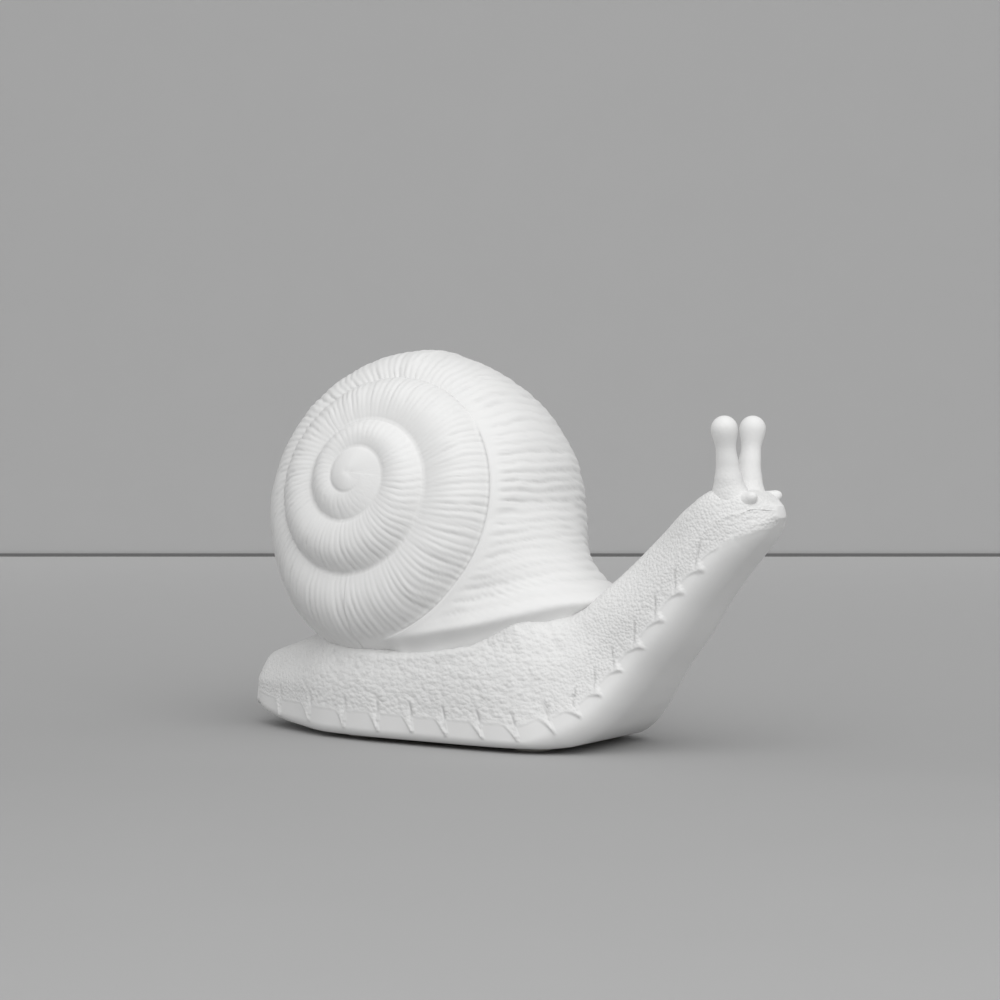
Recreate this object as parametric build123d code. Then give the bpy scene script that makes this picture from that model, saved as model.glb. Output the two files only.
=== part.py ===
from build123d import *
from math import cos, exp, pi, radians, sin
import os

# Driving dimensions, in millimetres. x runs from tail to nose, y to the left and z up from the table.

# Body casting: foot, neck and head
body_length = 274.0
body_half_width = 46.0
head_height = 116.0
bevel_height = 4.5
neck_bevel_height = 8.0
foot_skirt_height = 13.5
head_skirt_height = 5.0

# The sole's line, the back's line, the rim's half width and the bevel's inset, at the same stations from
# tail to nose, as shares of the length, of the head's height over the base and of the half width.
sole_shares = [
    (0.004, 0.040), (0.030, 0.0), (0.085, 0.0), (0.150, 0.0), (0.240, 0.0), (0.350, 0.0),
    (0.482, 0.0), (0.569, 0.0), (0.635, 0.005), (0.682, 0.009), (0.723, 0.057), (0.755, 0.132),
    (0.781, 0.211), (0.808, 0.298), (0.846, 0.410), (0.887, 0.550), (0.917, 0.635), (0.946, 0.690),
    (0.969, 0.735), (0.993, 0.785), (1.0, 0.850),
]
back_shares = [
    (0.004, 0.160), (0.030, 0.228), (0.085, 0.311), (0.147, 0.377), (0.232, 0.480), (0.334, 0.545),
    (0.423, 0.580), (0.482, 0.614), (0.526, 0.605), (0.562, 0.579), (0.599, 0.557), (0.630, 0.544),
    (0.653, 0.553), (0.677, 0.579), (0.722, 0.670), (0.769, 0.768), (0.812, 0.864), (0.856, 0.953),
    (0.904, 1.0), (0.954, 0.982), (0.993, 0.934),
]
rim_shares = [
    0.15, 0.42, 0.60, 0.75, 0.93, 1.0, 1.0, 0.99, 0.945, 0.87, 0.78,
    0.69, 0.62, 0.565, 0.53, 0.475, 0.445, 0.415, 0.38, 0.304, 0.15,
]
inset_shares = [0.3, 0.2, 0.15, 0.12, 0.11, 0.11, 0.11, 0.12, 0.18, 0.28, 0.36, 0.42] + [0.45] * 9
flank_height_shares = (0.62, 0.93)
flank_width_shares = (0.91, 0.53)
neck_first_station = 9
sections_a_station = 2
sole_allowance = 3.0

# Pleats that hang from the skirt
pleats_a_side = 19
pleat_width = 8.0
pleat_stand = 2.0
pleat_root = 1.5
pleat_overhang = 1.0
pleat_first_share = 0.07
pleat_last_share = 0.95
pleat_crowding_share = 0.25

# Hollow, base plate and pads
hollow_wall = 12.0
hollow_height = 24.0
hollow_first_station = 4
hollow_last_station = 8
plate_thickness = 3.0
plate_ledge = 4.0
plate_clearance = 0.2
pad_radius = 8.0
pad_thickness = 2.0
pad_row_shares = (0.27, 0.60)
pad_spread_share = 0.50

# Shell casting: a seam that winds out from the apex, and the whorls between its turns
apex_place_share = 0.309
apex_side = 53.0
apex_height = 118.7
shell_tilt = 16.8
seam_radius = 34.1
seam_growth_share = 0.66
seam_slowing_share = 0.089
spire_rise = 11.2
spire_dome_power = 1.41
whorl_bulge_share = 0.2
whorl_half_width = 23.2
whorl_half_width_growth = -9.0
whorl_depth = 63.0
whorl_descent = 12.3
whorl_half_depth = 41.9
whorl_half_depth_growth = 2.8
spire_first_turn = -1.0
spire_start_share = 0.4
spire_last_turn = 1.40
spire_end_share = 0.76
last_whorl_first_turn = 1.25
last_whorl_middle_turn = 1.75
aperture_turn = 2.25
sections_a_half_turn = 6
apex_radius_share = 0.62
core_radius = 58.0
core_depth = 40.0

# Flared lip, seat and dowels of the shell, and the lip's line on the body as shares of length and height
lip_line_shares = [
    (0.140, 0.40), (0.360, 0.35), (0.465, 0.395), (0.570, 0.465), (0.645, 0.545), (0.682, 0.590),
]
lip_stand = 1.7
lip_advance = 3.0
lip_bands = 3
lip_band_width = 4.5
lip_place_share = 0.34
lip_height = 46.0
lip_slope = 20.0
seat_height = 40.0
glue_gap = 0.3
dowel_radius = 4.0
dowel_depth = 7.0
dowel_rise = 14.0
dowel_clearance = 0.1
dowel_spacing_share = 0.25

# Eye stalks, their wires and the lower tentacles
stalk_station = 18
stalk_advance = 5.0
stalk_spacing = 26.0
stalk_sink = 3.0
stalk_height = 32.5
stalk_radius = 3.7
stalk_foot_radius = 5.6
stalk_foot_height = 12.0
bulb_radius = 5.3
plug_radius = 4.0
plug_length = 8.0
plug_clearance = 0.15
wire_radius = 1.0
wire_clearance = 0.05
wire_rise = 20.0
wire_in_head = 6.0
tentacle_station = 19
tentacle_spacing = 22.0
tentacle_radius = 3.8
tentacle_tip_radius = 1.6
tentacle_length = 8.5
tentacle_root = 5.0
tentacle_pitch = 60.0
tentacle_yaw = 35.0


def along(share):
    """Distance from the tail for a share of the body's length."""
    return share * body_length


def above_base(share):
    """Height for a share of the head's height over the base."""
    return pad_thickness + share * (head_height - pad_thickness)


def eased(values, place):
    """Value at a place between stations, on a curve through every station that never overshoots."""
    steps = [0] + [after - before for before, after in zip(values, values[1:])] + [0]
    slopes = [2 * a * b / (a + b) if a * b > 0 else 0 for a, b in zip(steps, steps[1:])]
    first = min(int(place), len(values) - 2)
    share = place - first
    ease = share * share * (3 - 2 * share)
    pull = slopes[first] * share * (1 - share) ** 2 - slopes[first + 1] * share ** 2 * (1 - share)
    return values[first] + steps[first + 1] * ease + pull


def foot_share(place):
    """How far a place belongs to the foot, which fades out at the neck's first station."""
    return min(1, max(0, neck_first_station - place))


def station(place):
    """Sole point, back point and half width at a place, with stock to cut off under the foot."""
    sole_x, sole_z = [eased(column, place) for column in zip(*sole_shares)]
    back_x, back_z = [eased(column, place) for column in zip(*back_shares)]
    sole = Vector(along(sole_x), 0, above_base(sole_z) - sole_allowance * foot_share(place))
    return sole, Vector(along(back_x), 0, above_base(back_z)), eased(rim_shares, place) * body_half_width


def body_places():
    """Places along the body where its form is drawn, some between the stations."""
    count = (len(rim_shares) - 1) * sections_a_station
    return [index / sections_a_station for index in range(count + 1)]


def skirt_heights(place):
    """Heights of the skirt's lower and upper edge over the sole at a place."""
    sole, back, half = station(place)
    room = (back - sole).length * flank_height_shares[0] / 2
    neck_share = max(0, (place - neck_first_station) / (len(rim_shares) - 1 - neck_first_station))
    skirt = foot_skirt_height + (head_skirt_height - foot_skirt_height) * neck_share
    foot_bevel = bevel_height + sole_allowance
    low = min(neck_bevel_height + (foot_bevel - neck_bevel_height) * foot_share(place), room)
    return low, low + min(skirt, room)


def rim_points(place):
    """Lower and upper point of the skirt at a place, on the left side."""
    sole, back, half = station(place)
    low, high = skirt_heights(place)
    up = (back - sole).normalized()
    side = Vector(0, half, 0)
    return sole + side + up * low, sole + side + up * high


def body_section(place):
    """Closed outline of the body across its line at a place."""
    sole, back, half = station(place)
    low, high = skirt_heights(place)
    tall = (back - sole).length
    right = [(half - eased(inset_shares, place) * half, 0), (half, low), (half, high)]
    left = [(-x, y) for x, y in reversed(right)]
    flank = [(w * half, h * tall) for w, h in zip(flank_width_shares, flank_height_shares)]
    crown = right[-1:] + flank + [(0, tall)] + [(-x, y) for x, y in reversed(flank)] + left[:1]
    outline = Polyline(*left, *right) + Spline(*crown)
    across = Vector(0, 1, 0)
    return Plane(origin=sole, x_dir=across, z_dir=across.cross(back - sole)) * make_face(outline)


def pleat(low, high, outward):
    """Pointed tongue that hangs down the skirt from its upper edge."""
    down = (low - high).normalized()
    frame = Plane(origin=high - outward * pleat_root, x_dir=down, z_dir=outward)
    reach = (low - high).length + pleat_overhang
    tongue = make_face(Polyline((0, -pleat_width / 2), (reach, 0), (0, pleat_width / 2), close=True))
    return extrude(frame * tongue, pleat_root + pleat_stand)


def pleats():
    """Both rows of tongues along the skirt, closer together towards the head."""
    edges = [rim_points(place) for place in body_places()]
    low_edge = Spline(*[low for low, high in edges])
    high_edge = Spline(*[high for low, high in edges])
    row = []
    for count in range(pleats_a_side):
        step = count / (pleats_a_side - 1)
        step += pleat_crowding_share * step * (1 - step)
        share = pleat_first_share + (pleat_last_share - pleat_first_share) * step
        low = low_edge @ share
        high = high_edge @ share
        outward = (high - low).cross(low_edge % share).normalized()
        row.append(pleat(low, high, outward))
    return row + [mirror(tongue, about=Plane.XZ) for tongue in row]


def plan_outline(inset, stretch):
    """Outline under the foot along the hollow, moved in from the rim and stretched at both ends."""
    edge = []
    for index in range(hollow_first_station, hollow_last_station + 1):
        sole, back, half = station(index)
        edge.append((sole.X, half - inset))
    edge[0] = (edge[0][0] - stretch, edge[0][1])
    edge[-1] = (edge[-1][0] + stretch, edge[-1][1])
    other = [(x, -y) for x, y in reversed(edge)]
    return make_face(Spline(*edge) + Line(edge[-1], other[0]) + Spline(*other) + Line(other[-1], edge[0]))


shell_apex = Vector(along(apex_place_share), -apex_side, apex_height)
shell_axis = Vector(0, -cos(radians(shell_tilt)), sin(radians(shell_tilt)))
shell_front = Vector(1, 0, 0)
shell_up = shell_axis.cross(shell_front)
shell_reach = seam_radius + whorl_half_depth


def spoke(turn):
    """Direction from the shell's axis at a turn, clockwise from the front when seen from the apex."""
    angle = 2 * pi * turn
    return shell_front * cos(angle) - shell_up * sin(angle)


def seam(turn):
    """Radius and depth under the apex of the seam between the whorls."""
    step = turn - 1
    radius = seam_radius * exp(seam_growth_share * step - seam_slowing_share * step * step)
    return radius, spire_rise * (radius / seam_radius) ** spire_dome_power


def shell_plane(turn, radius, depth):
    """Plane through the shell's axis at a turn, centred on a whorl."""
    return Plane(
        origin=shell_apex - shell_axis * depth + spoke(turn) * radius,
        x_dir=spoke(turn),
        z_dir=shell_axis.cross(spoke(turn)),
    )


def spire_section(turn):
    """Round section of an inner whorl, through the seam above it and the seam below it."""
    inner = Vector(*seam(turn))
    outer = Vector(*seam(turn + 1))
    chord = outer - inner
    bulge = whorl_bulge_share * chord.length
    radius = (chord.length ** 2 / 4 + bulge ** 2) / (2 * bulge)
    inward = Vector(-chord.Y, chord.X).normalized()
    centre = (inner + outer) / 2 + inward * (radius - bulge)
    swell = min(1, spire_start_share + 2 * (1 - spire_start_share) * (turn - spire_first_turn))
    past = max(0, turn - last_whorl_first_turn) / (spire_last_turn - last_whorl_first_turn)
    swell *= 1 - (1 - spire_end_share) * past
    return shell_plane(turn, centre.X, centre.Y) * Circle(radius * swell)


def last_whorl_section(turn):
    """Oval section of the outer whorl, which hangs from the seam above it."""
    step = turn - last_whorl_middle_turn
    half_width = whorl_half_width + whorl_half_width_growth * step
    depth = whorl_depth + whorl_descent * step
    half_depth = whorl_half_depth + whorl_half_depth_growth * step
    seam_at, seam_depth = seam(turn)
    lean = max(0, 1 - ((seam_depth - depth) / half_depth) ** 2) ** 0.5
    return shell_plane(turn, seam_at - half_width * lean, depth) * Ellipse(half_width, half_depth)


def wound(section, first, last):
    """Whorl from one turn to another, in lofts of about half a turn."""
    pieces = []
    lofts = max(1, round((last - first) * 2))
    for piece in range(lofts):
        start = first + (last - first) * piece / lofts
        stop = first + (last - first) * (piece + 1) / lofts
        turns = [start + (stop - start) * k / sections_a_half_turn for k in range(sections_a_half_turn + 1)]
        pieces.append(loft([section(turn) for turn in turns]))
    return pieces


def on_axis(depth):
    """Point on the shell's axis at a depth under the apex."""
    return shell_apex - shell_axis * depth


def whorls():
    """All the whorls of the shell, with the apex and the core they wind round, as one solid."""
    pieces = wound(spire_section, spire_first_turn, last_whorl_first_turn)
    pieces += wound(spire_section, last_whorl_first_turn, spire_last_turn)
    pieces += wound(last_whorl_section, last_whorl_first_turn, aperture_turn)
    apex_radius = seam(spire_first_turn + 1)[0] * apex_radius_share
    pieces.append(Pos(on_axis(apex_radius)) * Sphere(apex_radius))
    core = Sphere(core_radius, arc_size1=0, align=(Align.CENTER, Align.CENTER, Align.MIN))
    pieces.append(Plane(origin=on_axis(core_depth), z_dir=-shell_axis) * core)
    return pieces[0].fuse(*pieces[1:])


def below(height, slope=0, place=0):
    """Large block that fills the space under a plane, which may slope up towards the nose."""
    size = body_length + shell_reach
    plane = Plane(origin=(place, 0, height), x_dir=(cos(radians(slope)), 0, sin(radians(slope))),
                  z_dir=(-sin(radians(slope)), 0, cos(radians(slope))))
    return plane * Box(2 * size, size, size, align=(Align.CENTER, Align.CENTER, Align.MAX))


def grown(shape, gap):
    """Copy of the shell's shape that stands out from it by about a gap all round."""
    return scale(shape, by=1 + gap / shell_reach, about=on_axis(whorl_depth))


def shell_solid():
    """Shell with its flared lip, which stands out most at the front, cut flat at its seat."""
    spiral = whorls()
    bands = []
    for band in range(lip_bands):
        edge = below(lip_height - band * lip_band_width, lip_slope, along(lip_place_share))
        flare = Pos((band + 1) * lip_advance, 0, 0) * grown(spiral, (band + 1) * lip_stand)
        bands.append(flare & edge)
    return spiral.fuse(*bands) - below(seat_height)


def over_lip_line():
    """Space over the lip's line on the body, which only the shell fills."""
    line = [(along(x), above_base(z)) for x, z in lip_line_shares]
    top = above_base(1) + shell_reach
    outline = Polyline(*line, (line[-1][0], top), (line[0][0], top), close=True)
    return extrude(Plane.XZ * make_face(outline), shell_reach, both=True)


def dowel_places(shell):
    """Middle of each dowel on the shell's flat seat, the front one first."""
    seat = shell.faces().sort_by(Axis.Z)[0].bounding_box()
    middle = seat.center()
    spread = Vector(dowel_spacing_share * seat.size.X, 0, 0)
    return middle + spread, middle - spread


def dowel(place, gap=0):
    """Pin across the shell's seat, or with a gap the hole for it."""
    height = dowel_depth + dowel_rise + 2 * gap
    pin = Cylinder(dowel_radius + gap, height, align=(Align.CENTER, Align.CENTER, Align.MIN))
    return Pos(place.X, place.Y, seat_height - dowel_depth - gap) * pin


def stalk_place(side):
    """Foot of an eye stalk on the head."""
    top = station(stalk_station)[1]
    return Pos(top.X + stalk_advance, side * stalk_spacing / 2, top.Z - stalk_sink)


def eye_stalk():
    """Stalk with its round bulb and the plug that sits in the head, bored for the wire."""
    bulb_centre = stalk_height - bulb_radius
    neck = (stalk_radius, bulb_centre - (bulb_radius ** 2 - stalk_radius ** 2) ** 0.5)
    waist = (stalk_radius, stalk_foot_height)
    side = Polyline((stalk_foot_radius, 0), waist, neck)
    bulb = ThreePointArc(neck, (bulb_radius, bulb_centre), (0, stalk_height))
    bore = wire_radius + wire_clearance
    bore_end = wire_rise + wire_clearance
    inner = Polyline((0, stalk_height), (0, bore_end), (bore, bore_end), (bore, -plug_length),
                     (plug_radius, -plug_length), (plug_radius, 0), (stalk_foot_radius, 0))
    return revolve(Plane.XZ * make_face(side + bulb + inner), Axis.Z)


def stalk_core():
    """Straight wire that runs from the head up into the stalk."""
    length = wire_rise + plug_length + wire_in_head
    wire = Cylinder(wire_radius, length, align=(Align.CENTER, Align.CENTER, Align.MIN))
    return Pos(0, 0, wire_rise - length) * wire


def stalk_socket():
    """Space in the head for a stalk's plug, the flat round its foot and the wire below."""
    low = (Align.CENTER, Align.CENTER, Align.MIN)
    high = (Align.CENTER, Align.CENTER, Align.MAX)
    plug = Cylinder(plug_radius + plug_clearance, plug_length, align=high)
    flat = Cylinder(stalk_foot_radius + plug_clearance, 2 * stalk_sink, align=low)
    depth = plug_length + wire_in_head + wire_clearance
    return plug + flat + Cylinder(wire_radius + wire_clearance, depth, align=high)


def tentacle():
    """Small blunt horn on the left of the head, which points forward, up and out."""
    top = station(tentacle_station)[1]
    low_end = (Align.CENTER, Align.CENTER, Align.MIN)
    horn = Cone(tentacle_radius, tentacle_tip_radius, tentacle_length, align=low_end)
    tip = Pos(0, 0, tentacle_length) * Sphere(tentacle_tip_radius)
    place = Pos(top.X, tentacle_spacing / 2, top.Z - tentacle_root)
    return place * Rot(0, 0, tentacle_yaw) * Rot(0, tentacle_pitch, 0) * (horn + tip)


def under_foot(inset, stretch, height):
    """Block that rises from the sole inside an outline under the foot."""
    return Pos(0, 0, pad_thickness) * extrude(plan_outline(inset, stretch), height, dir=(0, 0, 1))


def base_plate(gap=0):
    """Plate on the ledge in the mouth of the hollow, or with no gap the recess for it."""
    return under_foot(hollow_wall - plate_ledge + gap, plate_ledge - gap, plate_thickness)


def body_casting(shell, dowels):
    """Foot, neck and head as one casting, with the shell's pocket, the hollow and the sockets cut in."""
    horn = tentacle()
    form = loft([body_section(place) for place in body_places()])
    body = form + horn + mirror(horn, about=Plane.XZ)
    body = body.fuse(*pleats()) - below(pad_thickness)
    cuts = [over_lip_line(), grown(shell, glue_gap), shell]
    cuts += [under_foot(hollow_wall, 0, hollow_height), base_plate()]
    cuts += [stalk_place(side) * stalk_socket() for side in (1, -1)]
    cuts += [dowel(place, dowel_clearance) for place in dowels]
    for cut in cuts:
        body = body - cut
    return body.solids().sort_by(SortBy.VOLUME)[-1]


def pad(row_share, side):
    """Round stick-on pad under the base plate."""
    place = Pos(along(row_share), side * pad_spread_share * body_half_width, 0)
    return place * Cylinder(pad_radius, pad_thickness, align=(Align.CENTER, Align.CENTER, Align.MIN))


def nodes():
    """Every piece by name, in place."""
    shell = shell_solid()
    dowels = dowel_places(shell)
    pieces = {
        "body_casting": body_casting(shell, dowels),
        "shell_casting": shell.cut(*[dowel(place, dowel_clearance) for place in dowels]),
        "base_plate": base_plate(plate_clearance),
    }
    for name, place in zip(("front", "rear"), dowels):
        pieces["shell_dowel_" + name] = dowel(place)
    for name, side in (("left", 1), ("right", -1)):
        pieces["eye_stalk_" + name] = stalk_place(side) * eye_stalk()
        pieces["stalk_core_" + name] = stalk_place(side) * stalk_core()
        for row, share in zip(("rear", "front"), pad_row_shares):
            pieces["pad_" + row + "_" + name] = pad(share, side)
    return pieces


def centred(pieces):
    """The same pieces, moved so that the origin is under the middle of the whole figurine."""
    boxes = [piece.bounding_box() for piece in pieces.values()]
    low_x, high_x = min(box.min.X for box in boxes), max(box.max.X for box in boxes)
    low_y, high_y = min(box.min.Y for box in boxes), max(box.max.Y for box in boxes)
    move = Pos(-(low_x + high_x) / 2, -(low_y + high_y) / 2, 0)
    return {name: move * piece for name, piece in pieces.items()}


os.makedirs("parts", exist_ok=True)
for name, piece in centred(nodes()).items():
    export_step(piece, "parts/" + name + ".step")
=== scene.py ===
"""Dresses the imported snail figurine: ribbed shell, scaled body, eye stalks, base and stage."""

from math import cos, pi, radians, sin

import bmesh
import bpy
import numpy as np
from bpy.props import FloatProperty, FloatVectorProperty, IntProperty, PointerProperty
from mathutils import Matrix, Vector


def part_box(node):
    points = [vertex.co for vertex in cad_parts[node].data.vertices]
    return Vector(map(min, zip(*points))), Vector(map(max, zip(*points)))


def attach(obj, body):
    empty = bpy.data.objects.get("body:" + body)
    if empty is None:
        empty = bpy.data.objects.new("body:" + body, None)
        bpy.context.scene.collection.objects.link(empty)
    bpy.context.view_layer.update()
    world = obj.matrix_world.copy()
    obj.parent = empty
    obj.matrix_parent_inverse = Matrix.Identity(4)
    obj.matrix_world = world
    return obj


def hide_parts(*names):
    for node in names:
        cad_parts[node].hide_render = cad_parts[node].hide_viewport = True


bl_info = {
    "name": "Snail figurine",
    "version": (1, 0, 0),
    "blender": (4, 5, 0),
    "location": "View3D > Sidebar > Snail",
    "description": "Builds a cast snail figurine round its packed solids",
    "category": "Object",
}

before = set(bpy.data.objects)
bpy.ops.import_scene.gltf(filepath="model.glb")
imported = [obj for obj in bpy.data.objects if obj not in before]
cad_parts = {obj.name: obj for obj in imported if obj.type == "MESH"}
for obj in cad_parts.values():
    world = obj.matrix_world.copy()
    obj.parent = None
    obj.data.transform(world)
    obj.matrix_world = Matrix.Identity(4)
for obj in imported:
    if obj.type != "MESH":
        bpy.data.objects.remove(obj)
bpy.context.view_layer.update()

MM = 0.001

# Stations of the body from tail to nose, as shares of its length, of the head's height and of its half width.
BODY_LENGTH = 274.0
BODY_HALF_WIDTH = 46.0
HEAD_HEIGHT = 116.0
PAD_THICKNESS = 2.0
SOLE = [
    (0.006, 0.165), (0.030, 0.055), (0.085, 0.024), (0.150, 0.010), (0.240, 0.0), (0.350, 0.0),
    (0.482, 0.0), (0.569, 0.0), (0.635, 0.0), (0.682, 0.009), (0.723, 0.057), (0.755, 0.132),
    (0.781, 0.211), (0.808, 0.298), (0.846, 0.410), (0.887, 0.550), (0.912, 0.625), (0.935, 0.690),
    (0.958, 0.750), (0.981, 0.815), (1.0, 0.885),
]
BACK = [
    (0.006, 0.232), (0.030, 0.280), (0.085, 0.326), (0.147, 0.380), (0.232, 0.480), (0.334, 0.545),
    (0.423, 0.580), (0.482, 0.614), (0.526, 0.600), (0.562, 0.565), (0.599, 0.525), (0.630, 0.502),
    (0.653, 0.502), (0.677, 0.524), (0.722, 0.628), (0.769, 0.740), (0.812, 0.836), (0.856, 0.925),
    (0.904, 0.990), (0.954, 0.982), (0.996, 0.930),
]
RIM = [
    0.15, 0.42, 0.60, 0.75, 0.93, 1.0, 1.0, 0.99, 0.945, 0.87, 0.78, 0.69, 0.62, 0.565, 0.53, 0.475,
    0.445, 0.415, 0.38, 0.304, 0.15,
]
INSET = [0.42, 0.3, 0.2, 0.13, 0.11, 0.11, 0.11, 0.12, 0.18, 0.28, 0.38, 0.48, 0.56, 0.62] + [0.66] * 7
NECK_FIRST = 9
SOLE_ROWS, BEVEL_ROWS, SKIRT_ROWS, FLANK_ROWS = 8, 13, 26, (26, 16, 10)
BODY_ENDS = (0.02, 19.97)
CAP_SHARES = (0.94, 0.82, 0.62, 0.36, 0.14)
CAP_BULGES = (0.3, 0.2)

BODY_MIDDLE = 137.55

# Winding of the shell in the part's own millimetres: x from the tail, y from the middle of the body.
APEX = np.array((84.67, -53.0, 118.7))
TILT = radians(16.8)
AXIS = np.array((0.0, -cos(TILT), sin(TILT)))
FRONT = np.array((1.0, 0.0, 0.0))
UP = np.cross(AXIS, FRONT)
APEX_LIFT = 2.2
SHELL_MIDDLE = 3.2
FIRST_TURN, JOIN_TURN = -1.0, 1.25
RUN_OUT = 1.45
SPIRE_ROWS, WHORL_ROWS, DOME_ROWS = 18, 58, 8
KNOB_SHARES = (0.95, 0.85, 0.7, 0.5, 0.3, 0.12)

# Rim of the shell's lip: reach from a point on the body and height, at even steps from the near side.
LIP_CENTRE = (120.0, 0.0)
LIP_FIRST, LIP_STEP = -120.0, 20.0
LIP_FLARE, LIP_EDGE = 43.0, 1.5
LIP_REACH = [50.5, 46.8, 47.0, 51.5, 59.0, 67.5, 71.0, 70.0, 66.0, 58.0, 50.5, 47.5]
LIP_RISE = [46.9, 48.4, 51.5, 55.0, 60.0, 64.5, 65.5, 64.5, 58.0, 52.0, 49.4, 48.0]

# Line on the body where the skin meets the lip: distance from the tail and height.
SKIN_TOP = [
    (30, 52.0), (45, 46.5), (60, 42.5), (78, 40.3), (95, 38.9), (110, 39.4), (127, 41.5), (142, 43.8),
    (153, 49.2), (164, 55.2), (172, 60.4), (180, 65.0), (188, 68.5),
]

# Eye stalks and lower tentacles, in millimetres.
STALK_LENGTH, STALK_RAISE, STALK_RADIUS, BULB_RADIUS = 46.0, 0.4, 4.3, 5.7
TENTACLE_PLACE = (260.8, 9.2, 109.6)
TENTACLE_PITCH, TENTACLE_YAW = radians(66.0), radians(28.0)
TENTACLE_TIP, TENTACLE_ROOT, TENTACLE_SUNK = 2.0, 4.6, 5.0

# Camera, wall, painted shade strip at the wall's foot and lamp, in metres.
CAMERA_PLACE = (0.5944, -0.9271, 0.144)
CAMERA_YAW, CAMERA_PITCH = radians(33.0), radians(-1.878)
LENS, SENSOR = 87.84, 36.0
WALL_DISTANCE, WALL_HEIGHT, WALL_SHADE_HEIGHT, STAGE_HALF_WIDTH, FLOOR_LENGTH = 2.572, 4, 0.0034, 6, 8
LAMP_PLACE, LAMP_TARGET, LAMP_SIZE = (0.60, -0.64, 0.95), (0, 0, 0.05), 1.3


def part_origin():
    """Where the part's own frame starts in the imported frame: under the tail, on the middle of the body."""
    rear_left, rear_right = (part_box("pad_rear_" + side) for side in ("left", "right"))
    x = (rear_left[0].x + rear_left[1].x) / 2 - 0.27 * BODY_LENGTH * MM
    y = (rear_left[0].y + rear_left[1].y + rear_right[0].y + rear_right[1].y) / 4
    return np.array((x, y, 0.0))


ORIGIN = part_origin()


def smooth_step(low, high, value):
    """0 below one limit, 1 above the other, with an even slope at both."""
    share = np.clip((value - low) / (high - low), 0, 1)
    return share * share * (3 - 2 * share)


def eased(values, places):
    """Values at places between stations, on a curve that passes every station and never overshoots."""
    values = np.asarray(values, float)
    places = np.asarray(places, float)
    steps = np.diff(values)
    before, after = np.append(0, steps), np.append(steps, 0)
    total = np.where(before + after == 0, 1, before + after)
    slopes = np.where(before * after > 0, 2 * before * after / total, 0)
    first = np.minimum(places.astype(int), len(values) - 2)
    share = places - first
    ease = share * share * (3 - 2 * share)
    pull = slopes[first] * share * (1 - share) ** 2 - slopes[first + 1] * share ** 2 * (1 - share)
    return values[first] + steps[first] * ease + pull


# Node trees

class Tree:
    """Geometry Nodes group with a geometry input, number inputs by name, and short ways to add its nodes."""

    def __init__(self, name, inputs):
        self.group = bpy.data.node_groups.new(name, "GeometryNodeTree")
        face = self.group.interface
        face.new_socket(name="Geometry", in_out="INPUT", socket_type="NodeSocketGeometry")
        face.new_socket(name="Geometry", in_out="OUTPUT", socket_type="NodeSocketGeometry")
        self.identifiers = {}
        for label in inputs:
            socket = face.new_socket(name=label, in_out="INPUT", socket_type="NodeSocketFloat")
            self.identifiers[label] = socket.identifier
        self.start = self.group.nodes.new("NodeGroupInput")
        self.end = self.group.nodes.new("NodeGroupOutput")

    def put(self, socket, value):
        """Links a socket to another, or sets it to a plain value."""
        if isinstance(value, bpy.types.NodeSocket):
            self.group.links.new(value, socket)
        elif value is not None:
            socket.default_value = value

    def node(self, kind, settings=None, **inputs):
        """New node with settings and with inputs by name."""
        new = self.group.nodes.new(kind)
        for key, value in (settings or {}).items():
            setattr(new, key, value)
        for key, value in inputs.items():
            self.put(new.inputs[key], value)
        return new

    def math(self, operation, a, b=None, c=None):
        """Result of one operation on numbers."""
        new = self.node("ShaderNodeMath", {"operation": operation})
        for socket, value in zip(new.inputs, (a, b, c)):
            self.put(socket, value)
        return new.outputs[0]

    def vector(self, operation, a, b=None):
        """Result of one operation on vectors."""
        new = self.node("ShaderNodeVectorMath", {"operation": operation})
        for socket, value in zip(new.inputs, (a, b)):
            self.put(socket, value)
        return new

    def scaled(self, vector, by):
        """Vector times a number."""
        new = self.node("ShaderNodeVectorMath", {"operation": "SCALE"})
        self.put(new.inputs[0], vector)
        self.put(new.inputs["Scale"], by)
        return new.outputs[0]

    def attribute(self, name):
        """Number kept on the mesh's points."""
        return self.node("GeometryNodeInputNamedAttribute", {"data_type": "FLOAT"}, Name=name).outputs[0]

    def noise(self, vector, scale, detail=2.0):
        """Soft noise from 0 to 1."""
        return self.node("ShaderNodeTexNoise", None, Vector=vector, Scale=scale, Detail=detail).outputs[0]

    def store(self, geometry, name, value):
        """Geometry with a number kept on its points."""
        settings = {"data_type": "FLOAT", "domain": "POINT"}
        kind = "GeometryNodeStoreNamedAttribute"
        new = self.node(kind, settings, Geometry=geometry, Name=name, Value=value)
        return new.outputs[0]

    def finish(self, geometry, offset, material):
        """Moves the points by an offset and closes the tree."""
        moved = self.node("GeometryNodeSetPosition", None, Geometry=geometry, Offset=offset).outputs[0]
        real = self.node("GeometryNodeRealizeInstances", None, Geometry=moved).outputs[0]
        dressed = self.node("GeometryNodeSetMaterial", None, Geometry=real, Material=material).outputs[0]
        self.group.links.new(dressed, self.end.inputs[0])


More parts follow.
